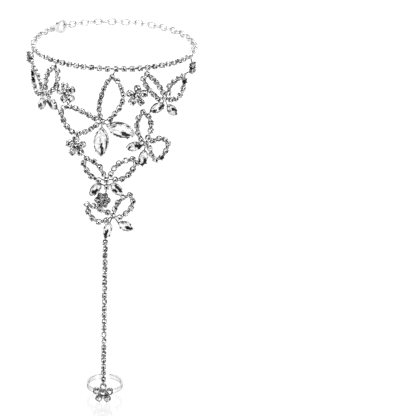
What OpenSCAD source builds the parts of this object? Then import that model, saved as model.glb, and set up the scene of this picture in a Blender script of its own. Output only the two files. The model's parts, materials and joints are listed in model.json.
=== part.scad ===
// Barefoot sandal jewellery: an anklet, a lace of butterflies and a toe ring on a drop chain.
// The anklet's loop lies level round the origin. Front is -Y and up is +Z.
// The lace hangs on an upright cylinder of the anklet's radius. A place on it is [s, z]:
// s is the run round the cylinder from the front, to the right, and z is the height.

/* [Anklet] */
// Radius of the anklet's loop, to the middle of its cups
anklet_r = 40; // [37:0.5:46]
// Spacing of the cups along the anklet's front
strand_pitch = 3.9; // [3.7:0.1:4.4]
// Length of a chain link, outside
link_l = 5; // [4.6:0.1:5.4]
// Width of a chain link, outside
link_w = 3.6; // [3.3:0.1:4.2]
// Thickness of a chain link's wire
link_wire = 0.65; // [0.5:0.05:0.75]
// Links between the clasp and the anklet's front
clasp_links = 8; // [5:1:9]

/* [Lace] */
// Length of the large upright wing, which sets the size of the whole lace
wing_l = 22; // [21:0.5:25]
// Spacing of the cups along a wing's edge
wing_pitch = 3.66; // [3.5:0.02:4.2]
// Thickness of the bars that join soldered cups
bar_d = 0.54; // [0.4:0.02:0.58]

/* [Stones and cups] */
// Diameter of a small round stone
stone_d = 2.1; // [1.8:0.05:2.2]
// Diameter of a flower's stone
petal_stone_d = 2.9; // [2.5:0.05:3]
// Distance of a petal's middle from its flower's middle
petal_r = 3.6; // [3.5:0.05:4]
// Distance of a rosette's outer cups from its middle
rosette_r = 2.62; // [2.6:0.02:3]
// Distance that the side rosettes stand out over the rest
rosette_lift = 1.4; // [0:0.1:2]
// Thickness of a cup's wall
cup_wall = 0.15; // [0.1:0.01:0.2]
// Thickness of a cup's floor, which the bars run into
cup_floor = 0.62; // [0.6:0.02:0.9]
// Thickness of a claw that holds a stone
claw_d = 0.44; // [0.3:0.02:0.5]

/* [Pointed oval settings] */
// Length of a large setting, outside
large_oval_l = 15; // [13:0.25:16]
// Width of a large setting, outside
large_oval_w = 7.2; // [6:0.1:8]
// Length of a small setting, outside
small_oval_l = 8.4; // [7.5:0.1:9]
// Width of a small setting, outside
small_oval_w = 4.5; // [4:0.1:5]
// Thickness of a setting's wall
oval_wall = 0.4; // [0.3:0.05:0.5]
// Thickness of a setting's claws
oval_claw_d = 0.6; // [0.4:0.05:0.65]

/* [Toe ring] */
// Height from the toe ring up to the anklet's loop
toe_ring_drop = 173; // [160:1:190]
// Inner radius of the toe ring
toe_ring_r = 8.4; // [7.5:0.1:10]
// Height of the toe ring's band
band_h = 2.4; // [1.8:0.1:3]
// Thickness of the toe ring's band
band_t = 0.8; // [0.6:0.05:1.1]
// Width of the gap at the back of the toe ring
band_gap = 2.6; // [1:0.1:5]
// Spacing of the cups along the drop chain
drop_pitch = 3.68; // [3.5:0.02:4.2]

/* [Clasp] */
// Outer radius of the clasp's hook
hook_r = 3.3; // [3:0.1:3.8]
// Width of the metal round the hook
hook_band = 1.05; // [0.9:0.05:1.2]
// Thickness of the clasp
clasp_t = 1.5; // [1.4:0.1:1.6]
// Thickness of the clasp's lever
lever_t = 0.8; // [0.6:0.05:0.9]
// Radius of the pin that the lever turns on
pin_r = 0.4; // [0.3:0.05:0.5]

/* [Hidden] */

// Clearances: a stone in its seat, its point over the floor, soldered pieces, links and the clasp
seat_gap = 0.08;
floor_gap = 0.1;
solder_gap = 0.34;
link_gap = 0.12;
clasp_gap = 0.1;
pin_gap = 0.06;

// A cut stone's depths and table, as shares of its width
PAVILION = 0.36;
CROWN = 0.18;
TABLE = 0.58;
OVAL_PAVILION = 0.28;
OVAL_CROWN = 0.15;
ROUND_FACETS = 8;
OVAL_FACETS = 14;

// A claw starts low on the cup, and its round tip lies on the stone's crown:
// the tip's radius is a share of the claw's, and its height one of the crown's
CLAW_LOW = 0.12;
CLAW_TIP = 1.25;
CLAW_RISE = 0.7;
OVAL_CLAW_RISE = 0.5;

// Columns of the wing table: butterfly, then the points that its edge runs through,
// from the body round the tip and back, as [s, z] shares of wing_l
WINGS = [
    [0, [[-1.92, -0.77], [-2.02, -0.59], [-2.18, -0.50], [-2.41, -0.45], [-2.62, -0.48],
        [-2.63, -0.66], [-2.47, -0.82], [-2.20, -0.95], [-1.90, -0.90]]],
    [0, [[-1.76, -0.70], [-1.74, -0.57], [-1.70, -0.40], [-1.55, -0.22], [-1.38, -0.14],
        [-1.34, -0.32], [-1.38, -0.56], [-1.60, -0.78]]],
    [1, [[-0.29, -1.09], [-0.31, -0.84], [-0.21, -0.45], [-0.03, -0.18], [0.16, -0.42],
        [0.19, -0.76], [-0.07, -1.15]]],
    [1, [[-0.40, -1.15], [-0.69, -1.02], [-1.00, -0.96], [-1.23, -1.09], [-1.14, -1.35],
        [-0.89, -1.55], [-0.61, -1.48], [-0.37, -1.30]]],
    [2, [[1.03, -0.75], [0.87, -0.60], [0.70, -0.38], [0.65, -0.20], [0.74, -0.15],
        [0.86, -0.25], [1.00, -0.40], [1.15, -0.63]]],
    [2, [[1.30, -0.68], [1.34, -0.50], [1.57, -0.41], [1.83, -0.40], [1.85, -0.64],
        [1.66, -0.83], [1.38, -0.84]]],
    [3, [[0.63, -1.64], [0.54, -1.43], [0.53, -1.21], [0.66, -1.01], [0.82, -1.17],
        [0.86, -1.41], [0.79, -1.62]]],
    [3, [[0.91, -1.71], [1.14, -1.69], [1.34, -1.86], [1.22, -2.08], [1.03, -2.18],
        [0.90, -2.05], [0.84, -1.87]]],
    [4, [[-0.20, -2.43], [-0.31, -2.22], [-0.50, -2.12], [-0.66, -2.13], [-0.61, -2.32],
        [-0.48, -2.50], [-0.30, -2.58]]],
    [4, [[-0.04, -2.43], [0.10, -2.20], [0.32, -2.10], [0.52, -2.10], [0.46, -2.31],
        [0.27, -2.52], [0.06, -2.55]]],
    [5, [[-0.09, -3.34], [-0.32, -3.25], [-0.55, -3.16], [-0.52, -3.38], [-0.35, -3.57],
        [-0.12, -3.53]]],
    [5, [[0.06, -3.26], [0.16, -3.06], [0.37, -2.92], [0.47, -3.10], [0.38, -3.31],
        [0.17, -3.46]]],
];

// Columns of the body table: butterfly, s and z of a body cup, as shares of wing_l
BODIES = [
    [0, -1.75, -0.84],
    [1, -0.24, -1.21],
    [2, 1.21, -0.77],
    [3, 0.75, -1.76],
    [4, -0.13, -2.57],
    [4, -0.12, -2.73],
    [5, 0.03, -3.42],
];

// Columns of the pointed oval table: butterfly, 1 for a large one, s and z of its middle
// as shares of wing_l, and the way its outer point turns from +s, in degrees
OVALS = [
    [0, 0, -1.90, -1.12, -125],
    [0, 0, -1.52, -1.00, -35],
    [1, 1, 0.17, -1.385, -19],
    [1, 1, -0.25, -1.67, -90],
    [2, 0, 1.01, -0.95, 202],
    [2, 0, 1.43, -1.09, -46],
    [3, 0, 0.48, -1.79, 187],
    [3, 0, 0.69, -2.08, -101],
    [4, 0, -0.37, -2.80, 231],
    [4, 0, 0.10, -2.78, -46],
    [5, 0, -0.09, -3.77, -104],
    [5, 0, 0.31, -3.67, -24],
];

// Columns of the flower table: s and z of the middle as shares of wing_l,
// and the way its first petal points from +s, in degrees
FLOWERS = [
    [-1.09, -0.66, 104],
    [0.51, -0.62, 86],
    [-0.83, -1.85, 94],
];

// Columns of the rosette table: s and z of the middle as shares of wing_l, the number of
// outer cups, the way the first one points from +s, in degrees, 1 if it stands proud, and
// how far its face turns towards +s, in degrees
ROSETTES = [
    [-2.66, -0.28, 4, 45, 1, 20],
    [2.13, -0.28, 4, 45, 1, 0],
    [-0.21, -3.05, 6, 60, 0, 0],
];

// Ends of the anklet's front strand, as shares of wing_l
STRAND_LEFT = -2.62;
STRAND_RIGHT = 2.17;

// Sizes of a cup, from its stone's diameter d
function cup_r(d) = d / 2 + seat_gap + cup_wall;
function rim_h(d) = cup_floor + floor_gap + PAVILION * d;

small_cup_r = cup_r(stone_d);
petal_cup_r = cup_r(petal_stone_d);
claw_r = claw_d / 2;
claw_out = 0.02;
bar_h = cup_floor / 2;
bar_grip = 0.5;

// The cups' backs lie at back_r, and the chains' middles at chain_r
back_r = anklet_r - rim_h(stone_d) / 2;
chain_r = back_r + bar_h;
loop_l = 2 * PI * anklet_r;

// Smooth run through the points P, cut into short steps
CURVE_STEPS = 12;
function blend(a, b, c, d, t) = 0.5 * (2 * b + (c - a) * t + (2 * a - 5 * b + 4 * c - d) * t * t
    + (3 * b - a - 3 * c + d) * t * t * t);
function smooth_run(P) = let (last = len(P) - 1)
    [for (i = [0:last - 1]) for (k = [0:CURVE_STEPS - 1])
        blend(P[max(i - 1, 0)], P[i], P[i + 1], P[min(i + 2, last)], k / CURVE_STEPS), P[last]];
function run_lengths(C) = [for (i = 0, l = 0; i < len(C);
    l = l + (i < len(C) - 1 ? norm(C[i + 1] - C[i]) : 0), i = i + 1) l];
function point_at(C, L, d) = [lookup(d, [for (i = [0:len(C) - 1]) [L[i], C[i].x]]),
    lookup(d, [for (i = [0:len(C) - 1]) [L[i], C[i].y]])];

// Cups spaced evenly along a wing's edge
function wing_cups(edge) = let (C = smooth_run(wing_l * edge), L = run_lengths(C),
    total = L[len(L) - 1], n = round(total / wing_pitch))
    [for (k = [0:n]) point_at(C, L, total * k / n)];
function wings_of(b) = [for (row = WINGS) if (row[0] == b) wing_cups(row[1])];
function body_cups(b) = [for (row = BODIES) if (row[0] == b) wing_l * [row[1], row[2]]];
function ovals_of(b) = [for (row = OVALS) if (row[0] == b) row];

// Sizes of a pointed oval setting, whose sides are arcs of radius oval_arc
function oval_l(row) = row[1] == 1 ? large_oval_l : small_oval_l;
function oval_w(row) = row[1] == 1 ? large_oval_w : small_oval_w;
function oval_arc(l, w) = (l * l + w * w) / (4 * w);
function inset_w(w, inset) = w - 2 * inset;
function inset_l(l, w, inset) = let (r = oval_arc(l, w))
    2 * sqrt(pow(r - inset, 2) - pow(r - w / 2, 2));
oval_seat = oval_wall + seat_gap;
oval_claw_in = 0.1;
OVAL_CLAW_AT = 0.28;
function oval_rim(w) = cup_floor + floor_gap + OVAL_PAVILION * inset_w(w, oval_seat);

// Ends and count of the anklet's front strand
strand_l = wing_l * (STRAND_RIGHT - STRAND_LEFT);
strand_n = round(strand_l / strand_pitch);
strand_step = strand_l / strand_n;
strand_cups = [for (k = [0:strand_n]) [wing_l * STRAND_LEFT + k * strand_step, 0]];

// Point in space at height h over the back, [x, y] beside the place p in its flat plane
function spot(p, h, x = 0, y = 0) = let (a = p.x / anklet_r * 180 / PI)
    [(back_r + h) * sin(a) + x * cos(a), x * sin(a) - (back_r + h) * cos(a), p.y + y];

// Anchors are where bars start and end: a point at bar height and the radius round it
function cup_anchors(cups) = [for (p = cups) [spot(p, bar_h), small_cup_r]];
function oval_anchor(row, side) = let (reach = side * (oval_l(row) / 2 - bar_grip))
    [spot(wing_l * [row[2], row[3]], bar_h, reach * cos(row[4]), reach * sin(row[4])), bar_grip];
function ring_anchors(p, n, r, turn, cup, lift, face) = [for (k = [0:n - 1])
    let (a = turn + k * 360 / n, x = r * cos(a))
    [spot(p, lift + bar_h * cos(face) - x * sin(face), x * cos(face) + bar_h * sin(face),
        r * sin(a)), cup]];
function butterfly_anchors(b) = [for (w = wings_of(b)) each cup_anchors(w),
    for (row = ovals_of(b)) oval_anchor(row, 1)];
function flower_anchors(f) = ring_anchors(wing_l * [f[0], f[1]], 5, petal_r, f[2],
    petal_cup_r, 0, 0);
function rosette_outer_r(q) = rosette_r * sin(30) / sin(180 / q[2]);
function rosette_anchors(q) = ring_anchors(wing_l * [q[0], q[1]], q[2], rosette_outer_r(q), q[3],
    small_cup_r, rosette_lift * q[4], q[5]);

// The pair of anchors, one of each list, that lie closest
function anchor_gap(a, b) = norm(a[0] - b[0]) - a[1] - b[1];
function closest(A, B) = let (gaps = [for (a = A) for (b = B) anchor_gap(a, b)],
    least = min(gaps), i = [for (k = [0:len(gaps) - 1]) if (gaps[k] == least) k][0])
    [A[floor(i / len(B))], B[i % len(B)]];

// Small eyes that link one cup to the next: one upright, one flat, each through the other
eye_hole_r = 0.3;
eye_rim = 0.2;
eye_t = 0.25;
eye_step = 0.4;
eye_r = eye_hole_r + eye_rim;
function eye_reach(pitch) = (pitch - eye_step) / 2;

// Large eyes at the strand's ends, which hold the link chains
end_hole_r = link_wire / 2 + 0.3;
end_eye_rim = 0.38;
end_eye_t = 0.5;
end_reach = small_cup_r + end_hole_r + end_eye_rim / 2;

// The link chains: a link's span from wire to wire, and the longest step from link to link
link_span = link_l - link_wire;
link_step = link_span - link_wire - link_gap;
function links_for(run) = ceil((run - link_span) / link_step) + 1;

// The clasp, its hook's centre at clasp_s and its eye towards +s. It lies flat, so that
// both of its holds meet the chains: clasp_mid is midway between them.
hook_hole_r = hook_r - hook_band;
clasp_eye_x = 6.4;
clasp_eye_r = 1.6;
clasp_eye_hole = 0.85;
hook_slack = 0.5;
hook_hold = hook_hole_r - hook_slack - link_wire / 2;
left_eye_s = loop_l + wing_l * STRAND_LEFT - end_reach;
right_eye_s = wing_l * STRAND_RIGHT + end_reach;
clasp_s = left_eye_s - (clasp_links - 1) * link_step - link_span - clasp_eye_x;
clasp_mid = (clasp_eye_x - hook_hold) / 2;
clasp_half = (clasp_eye_x + hook_hold) / 2;
clasp_sag = chain_r / cos(clasp_half / anklet_r * 180 / PI) - chain_r;
extender_run = clasp_s - hook_hold - right_eye_s;
extender_n = links_for(extender_run);
extender_step = (extender_run - link_span) / (extender_n - 1);

// The lever's pivot, its ends on the hook as turns from +s, and its thumb tab. The lever's
// tip lies on a circle round the pivot, so that it clears the hook's end as it turns.
pivot_turn = 28;
lever_end_turn = 108;
gate_start_turn = 42;
gate_far_turn = 150;
pivot = (hook_r - hook_band / 2) * [cos(pivot_turn), sin(pivot_turn)];
lever_reach = norm(hook_r * [cos(lever_end_turn), sin(lever_end_turn)] - pivot);
boss_r = 0.75;
slot_r = 1.5;
tab_turn = 62;
tab_l = 2;
tab_w = 0.7;

// The drop chain hangs from the bottom butterfly's lower point to the toe flower's top petal
bottom_oval = OVALS[10];
drop_point = oval_l(bottom_oval) / 2 * [cos(bottom_oval[4]), sin(bottom_oval[4])];
drop_place = wing_l * [bottom_oval[2], bottom_oval[3]] + drop_point;
hang_eye_out = 0.35;
hang_eye_in = 0.8;
cup_reach = eye_reach(drop_pitch);
drop_top_z = drop_place.y - hang_eye_out - eye_step - cup_reach;
toe_petal_reach = petal_cup_r + cup_reach - small_cup_r;
drop_end_z = petal_r + toe_petal_reach + eye_step + cup_reach - toe_ring_drop;
drop_n = round((drop_top_z - drop_end_z) / drop_pitch);
drop_step = (drop_top_z - drop_end_z) / drop_n;
drop_cups = [for (k = [0:drop_n]) [drop_place.x, drop_top_z - k * drop_step]];
toe_flower = [drop_place.x, -toe_ring_drop];
band_r = toe_ring_r + band_t;
band_solder = 0.25;

$fn = 36;

// Puts its children at the place p, facing outward with their own y up
module on_loop(p, lift = 0) {
    rotate([0, 0, p.x / anklet_r * 180 / PI]) translate([0, -back_r - lift, p.y])
        rotate([90, 0, 0]) children();
}

module rod(a, b, r) {
    d = b - a;
    translate(a) rotate([0, acos(d.z / norm(d)), atan2(d.y, d.x)]) cylinder(r = r, h = norm(d));
}

// Bar soldered into both anchors
module bar(a, b) {
    u = (b[0] - a[0]) / norm(b[0] - a[0]);
    rod(a[0] + u * (a[1] - bar_grip), b[0] - u * (b[1] - bar_grip), bar_d / 2);
}

// Bar soldered to the first anchor, ending just short of the second
module tie(a, b) {
    u = (b[0] - a[0]) / norm(b[0] - a[0]);
    rod(a[0] + u * (a[1] - bar_grip), b[0] - u * (b[1] + solder_gap), bar_d / 2);
}

// Claw with its round tip at height top
module claw(r, top) {
    translate([0, 0, CLAW_LOW]) cylinder(r = r, h = top - CLAW_LOW);
    translate([0, 0, top]) sphere(r = CLAW_TIP * r);
}

// Round cup for a stone of diameter d, plain or with four claws
module plain_cup(d) {
    difference() {
        cylinder(r = cup_r(d), h = rim_h(d));
        translate([0, 0, cup_floor]) cylinder(r = d / 2 + seat_gap, h = rim_h(d));
    }
}

module cup(d, turn = 0) {
    plain_cup(d);
    for (a = [45:90:315]) rotate(a + turn) translate([cup_r(d) + claw_out, 0, 0])
        claw(claw_r, rim_h(d) + CLAW_RISE * CROWN * d);
}

// Cut stone with a table, two rows of crown facets and a pointed back.
// G is its girdle's outline, and T its table's, half a facet round from it.
module cut_stone(G, T, pavilion, crown) {
    n = len(G);
    points = [for (g = G) [g.x, g.y, 0], for (t = T) [t.x, t.y, crown], [0, 0, -pavilion]];
    faces = [
        for (k = [0:n - 1]) [k, n + k, (k + 1) % n],
        for (k = [0:n - 1]) [(k + 1) % n, n + k, n + (k + 1) % n],
        for (k = [0:n - 1]) [k, (k + 1) % n, 2 * n],
        [for (k = [n - 1:-1:0]) n + k],
    ];
    polyhedron(points, faces);
}

// Round stone of diameter d in a cup's seat
module round_stone(d, turn = 0) {
    n = ROUND_FACETS;
    half = 180 / n;
    translate([0, 0, rim_h(d)]) rotate(turn + half) cut_stone(
        [for (k = [0:n - 1]) d / 2 * [cos(2 * half * k), sin(2 * half * k)]],
        [for (k = [0:n - 1]) TABLE * d / 2 * [cos(2 * half * k + half), sin(2 * half * k + half)]],
        PAVILION * d, CROWN * d);
}

// Point on a pointed oval's edge, t of the way round from its right point
function oval_point(l, w, t) = let (r = oval_arc(l, w), span = asin(l / 2 / r),
    upper = t < 0.5, a = span * (upper ? 1 - 4 * t : 4 * t - 3), y = r * cos(a) - r + w / 2)
    [r * sin(a), upper ? y : -y];

module oval_outline(l, w, inset) {
    r = oval_arc(l, w);
    intersection_for (side = [-1, 1]) translate([0, side * (r - w / 2)]) circle(r = r - inset);
}

// Pointed oval setting with four claws
module oval_setting(row) {
    l = oval_l(row);
    w = oval_w(row);
    rim = oval_rim(w);
    r = oval_arc(l, w);
    claw_x = OVAL_CLAW_AT * l;
    claw_y = sqrt(r * r - claw_x * claw_x) - r + w / 2;
    on_loop(wing_l * [row[2], row[3]]) rotate(row[4]) {
        difference() {
            linear_extrude(rim) oval_outline(l, w, 0);
            translate([0, 0, cup_floor]) linear_extrude(rim) oval_outline(l, w, oval_wall);
        }
        for (x = [-1, 1], y = [-1, 1]) translate([x * claw_x, y * claw_y, 0])
            rotate(atan2(y * (claw_y + r - w / 2), x * claw_x)) translate([-oval_claw_in, 0, 0])
                claw(oval_claw_d / 2, rim + OVAL_CLAW_RISE * OVAL_CROWN * inset_w(w, oval_seat));
    }
}

module oval_stone(row) {
    l = inset_l(oval_l(row), oval_w(row), oval_seat);
    w = inset_w(oval_w(row), oval_seat);
    n = OVAL_FACETS;
    color("aliceblue") on_loop(wing_l * [row[2], row[3]]) rotate(row[4])
        translate([0, 0, oval_rim(oval_w(row))]) cut_stone([for (k = [0:n - 1]) oval_point(l, w, k / n)],
            [for (k = [0:n - 1]) TABLE * oval_point(l, w, (k + 0.5) / n)],
            OVAL_PAVILION * w, OVAL_CROWN * w);
}

// One butterfly: wings of cups, its body's cups and its pointed ovals, soldered together
module butterfly(b) {
    body = cup_anchors(body_cups(b));
    for (p = body_cups(b)) on_loop(p) cup(stone_d);
    if (len(body) > 1) bar(body[0], body[1]);
    for (w = wings_of(b)) {
        last = len(w) - 1;
        anchors = cup_anchors(w);
        for (k = [0:last]) {
            along = w[min(k + 1, last)] - w[max(k - 1, 0)];
            on_loop(w[k]) cup(stone_d, atan2(along.y, along.x));
        }
        for (k = [1:last]) bar(anchors[k - 1], anchors[k]);
        for (k = [0, last]) {
            pair = closest([anchors[k]], body);
            bar(pair[0], pair[1]);
        }
    }
    for (row = ovals_of(b)) {
        oval_setting(row);
        pair = closest([oval_anchor(row, -1)], body);
        bar(pair[0], pair[1]);
    }
}

// Ties from a butterfly to its neighbours, each where the two lie closest
module ties(b, neighbours) {
    for (anchors = neighbours) {
        pair = closest(butterfly_anchors(b), anchors);
        tie(pair[0], pair[1]);
    }
}

// Cups in a ring. Where they leave room, spokes join them to a middle cup,
// and otherwise a plate joins their floors. In a tight ring one claw of each outer cup
// stands towards the middle, and holds the middle stone too.
function has_middle(d, r) = r > 2 * cup_r(d);
module cup_ring(d, n, r, turn, tight = false) {
    if (has_middle(d, r) && tight) plain_cup(d);
    if (has_middle(d, r) && !tight) cup(d, turn);
    if (!has_middle(d, r)) cylinder(r = r - cup_r(d) + bar_grip, h = cup_floor);
    for (k = [0:n - 1]) rotate(turn + k * 360 / n) {
        translate([r, 0, 0]) cup(d, tight ? 45 : 0);
        if (has_middle(d, r)) neck(cup_r(d) - bar_grip, r - cup_r(d) + bar_grip, bar_d / 2);
    }
}

module stone_ring(d, n, r, turn) {
    if (has_middle(d, r)) round_stone(d, turn);
    for (k = [0:n - 1]) rotate(turn + k * 360 / n) translate([r, 0, 0]) round_stone(d);
}

module flower(f) {
    color("silver") on_loop(wing_l * [f[0], f[1]]) cup_ring(petal_stone_d, 5, petal_r, f[2]);
}

module flower_stones(f) {
    color("aliceblue") on_loop(wing_l * [f[0], f[1]])
        stone_ring(petal_stone_d, 5, petal_r, f[2]);
}

module rosette(q) {
    color("silver") on_loop(wing_l * [q[0], q[1]], rosette_lift * q[4]) rotate([0, q[5], 0])
        cup_ring(stone_d, q[2], rosette_outer_r(q), q[3], true);
}

module rosette_stones(q) {
    color("aliceblue") on_loop(wing_l * [q[0], q[1]], rosette_lift * q[4]) rotate([0, q[5], 0])
        stone_ring(stone_d, q[2], rosette_outer_r(q), q[3]);
}

module eye(x, hole, rim, t, upright) {
    translate([x, 0, bar_h]) rotate([upright ? 90 : 0, 0, 0]) difference() {
        cylinder(r = hole + rim, h = t, center = true);
        cylinder(r = hole, h = 2 * t, center = true);
    }
}

module neck(from, to, r) {
    translate([from, 0, bar_h]) rotate([0, 90, 0]) cylinder(r = r, h = to - from);
}

// Small eye towards +x of a cup, its middle at reach from the cup's
module cup_eye(reach, upright, wall = small_cup_r) {
    eye(reach, eye_hole_r, eye_rim, eye_t, upright);
    neck(wall - bar_grip, reach - eye_hole_r - eye_rim / 3, eye_t / 2);
}

module end_eye(upright) {
    eye(end_reach, end_hole_r, end_eye_rim, end_eye_t, upright);
    neck(small_cup_r - bar_grip, end_reach - end_hole_r - end_eye_rim / 3, bar_h * 0.75);
}

// The anklet's front: loose cups, each linked to the next by eyes
module anklet_strand() {
    color("silver") for (k = [0:strand_n]) on_loop(strand_cups[k]) {
        cup(stone_d);
        if (k < strand_n) cup_eye(eye_reach(strand_step), true);
        if (k > 0) mirror([1, 0, 0]) cup_eye(eye_reach(strand_step), false);
        if (k == strand_n) end_eye(extender_n % 2 == 0);
        if (k == 0) mirror([1, 0, 0]) end_eye(clasp_links % 2 == 0);
    }
}

module anklet_stones() {
    color("aliceblue") for (p = strand_cups) on_loop(p) round_stone(stone_d);
}

// Oval link with its long way along x, lying flat or turned upright
module link(upright) {
    end_r = (link_w - link_wire) / 2;
    straight = link_l - link_w;
    rotate([upright ? 90 : 0, 0, 0]) for (side = [-1, 1]) {
        translate([side * straight / 2, 0, 0]) rotate(side * 90 - 90)
            rotate_extrude(angle = 180, start = -90) translate([end_r, 0]) circle(d = link_wire);
        translate([-straight / 2, side * end_r, 0]) rotate([0, 90, 0])
            cylinder(d = link_wire, h = straight);
    }
}

// Chain of n links, the first held at run s. The link at the clasp lies level.
module link_chain(s, n, step, level_first) {
    for (k = [0:n - 1]) {
        from_clasp = level_first ? k : n - 1 - k;
        on_loop([s + link_span / 2 + k * step, 0]) translate([0, 0, bar_h])
            link(from_clasp % 2 == 0);
    }
}

module extender_chain() {
    color("gainsboro") link_chain(right_eye_s, extender_n, extender_step, false);
}

module clasp_chain() {
    color("gainsboro") link_chain(clasp_s + clasp_eye_x, clasp_links, link_step, true);
}

// Sector of the plane between two turns, out to radius r
module sector(from, to, r) {
    polygon([[0, 0], for (a = [from, (from + to) / 2, to]) r / cos((to - from) / 4)
        * [cos(a), sin(a)]]);
}

module clasp_outline() {
    difference() {
        union() {
            circle(r = hook_r);
            polygon([[0, -0.9 * hook_r], [clasp_eye_x, -0.8 * clasp_eye_r],
                [clasp_eye_x, 0.8 * clasp_eye_r], [0, 0.9 * hook_r]]);
            translate([clasp_eye_x, 0]) circle(r = clasp_eye_r);
        }
        circle(r = hook_hole_r);
        translate([clasp_eye_x, 0]) circle(r = clasp_eye_hole);
    }
}

module at_clasp() {
    on_loop([clasp_s + clasp_mid, 0]) translate([-clasp_mid, 0, bar_h - clasp_sag]) children();
}

// Clasp with its open hook, the slot for the lever and the pin that the lever turns on
module clasp_body() {
    color("gainsboro") at_clasp() {
        difference() {
            linear_extrude(clasp_t, center = true) clasp_outline();
            linear_extrude(2 * clasp_t, center = true) intersection() {
                sector(gate_start_turn, gate_far_turn, 2 * hook_r);
                translate(pivot) circle(r = lever_reach + clasp_gap);
            }
            translate([pivot.x, pivot.y, 0])
                cylinder(r = slot_r, h = lever_t + 2 * clasp_gap, center = true);
        }
        translate([pivot.x, pivot.y, 0]) cylinder(r = pin_r, h = clasp_t, center = true);
    }
}

// Lever that closes the hook, with its boss on the pin and its thumb tab
module clasp_lever() {
    color("gainsboro") at_clasp() difference() {
        linear_extrude(lever_t, center = true) {
            intersection() {
                difference() {
                    circle(r = hook_r);
                    circle(r = hook_hole_r);
                }
                sector(pivot_turn, gate_far_turn, 2 * hook_r);
                translate(pivot) circle(r = lever_reach);
            }
            translate(pivot) circle(r = boss_r);
            translate(pivot) rotate(tab_turn) translate([0, -tab_w / 2]) square([tab_l, tab_w]);
        }
        translate([pivot.x, pivot.y, 0])
            cylinder(r = pin_r + pin_gap, h = 2 * lever_t, center = true);
    }
}

// The drop chain: loose cups, each linked to the next by eyes
module drop_chain() {
    color("silver") for (k = [0:drop_n]) on_loop(drop_cups[k]) rotate(-90) {
        cup(stone_d);
        mirror([1, 0, 0]) cup_eye(k > 0 ? eye_reach(drop_step) : cup_reach, true);
        cup_eye(k < drop_n ? eye_reach(drop_step) : cup_reach, false);
    }
}

module drop_stones() {
    color("aliceblue") for (p = drop_cups) on_loop(p) round_stone(stone_d);
}

// Band round the toe, open at the back with round ends
module band() {
    module full_band() {
        difference() {
            cylinder(r = band_r, h = band_h, center = true);
            cylinder(r = toe_ring_r, h = 2 * band_h, center = true);
        }
    }
    end_x = (band_gap + band_h) / 2;
    difference() {
        full_band();
        translate([-end_x, 0, -band_h]) cube([2 * end_x, 2 * band_r, 2 * band_h]);
    }
    for (side = [-1, 1]) intersection() {
        full_band();
        translate([side * end_x, 0, 0]) rotate([-90, 0, 0])
            cylinder(r = band_h / 2, h = 2 * band_r);
    }
}

// Toe ring with its flower, whose top petal hangs from the drop chain
module toe_ring() {
    color("silver") {
        on_loop(toe_flower) {
            cup_ring(petal_stone_d, 5, petal_r, 90);
            translate([0, petal_r, 0]) rotate(90) cup_eye(toe_petal_reach, true, petal_cup_r);
        }
        rotate([0, 0, toe_flower.x / anklet_r * 180 / PI])
            translate([0, band_r - band_solder - back_r, toe_flower.y]) band();
    }
}

module toe_flower_stones() {
    color("aliceblue") on_loop(toe_flower) stone_ring(petal_stone_d, 5, petal_r, 90);
}

// Eye under the bottom butterfly's lower point, which holds the drop chain
module hang_eye() {
    on_loop(wing_l * [bottom_oval[2], bottom_oval[3]]) translate(drop_point) rotate(-90) {
        eye(hang_eye_out, eye_hole_r, eye_rim, eye_t, false);
        neck(-hang_eye_in, hang_eye_out - eye_hole_r - eye_rim / 3, eye_t / 2);
    }
}

strand = cup_anchors(strand_cups);

module butterfly_side_left() {
    color("silver") {
        butterfly(0);
        ties(0, [strand, flower_anchors(FLOWERS[0]), rosette_anchors(ROSETTES[0]),
            butterfly_anchors(1)]);
    }
}

module butterfly_centre() {
    color("silver") {
        butterfly(1);
        ties(1, [strand, for (f = FLOWERS) flower_anchors(f), butterfly_anchors(3)]);
    }
}

module butterfly_side_right() {
    color("silver") {
        butterfly(2);
        ties(2, [strand, flower_anchors(FLOWERS[1]), rosette_anchors(ROSETTES[1]),
            butterfly_anchors(3)]);
    }
}

module butterfly_mid_right() {
    color("silver") {
        butterfly(3);
        ties(3, [butterfly_anchors(4)]);
    }
}

module butterfly_lower() {
    low_cup = cup_anchors(body_cups(4))[1];
    pair = closest([low_cup], rosette_anchors(ROSETTES[2]));
    color("silver") {
        butterfly(4);
        ties(4, [flower_anchors(FLOWERS[2]), butterfly_anchors(5)]);
        tie(pair[0], pair[1]);
    }
}

module butterfly_bottom() {
    color("silver") {
        butterfly(5);
        ties(5, [rosette_anchors(ROSETTES[2])]);
        hang_eye();
    }
}

// Side rosette, tied to the strand's end
module side_rosette(q, end) {
    pair = closest(rosette_anchors(q), [end]);
    color("silver") {
        rosette(q);
        tie(pair[0], pair[1]);
    }
}

anklet_strand();
anklet_stones();
extender_chain();
clasp_chain();
clasp_body();
clasp_lever();
butterfly_side_left();
butterfly_centre();
butterfly_side_right();
butterfly_mid_right();
butterfly_lower();
butterfly_bottom();
oval_stone(OVALS[0]);  // side_left_oval_1
oval_stone(OVALS[1]);  // side_left_oval_2
oval_stone(OVALS[2]);  // centre_oval_1
oval_stone(OVALS[3]);  // centre_oval_2
oval_stone(OVALS[4]);  // side_right_oval_1
oval_stone(OVALS[5]);  // side_right_oval_2
oval_stone(OVALS[6]);  // mid_right_oval_1
oval_stone(OVALS[7]);  // mid_right_oval_2
oval_stone(OVALS[8]);  // lower_oval_1
oval_stone(OVALS[9]);  // lower_oval_2
oval_stone(OVALS[10]);  // bottom_oval_1
oval_stone(OVALS[11]);  // bottom_oval_2
flower(FLOWERS[0]);  // flower_left
flower(FLOWERS[1]);  // flower_right
flower(FLOWERS[2]);  // flower_low
flower_stones(FLOWERS[0]);  // flower_left_stones
flower_stones(FLOWERS[1]);  // flower_right_stones
flower_stones(FLOWERS[2]);  // flower_low_stones
side_rosette(ROSETTES[0], strand[0]);  // rosette_left
side_rosette(ROSETTES[1], strand[strand_n]);  // rosette_right
rosette(ROSETTES[2]);  // rosette_low
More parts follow.
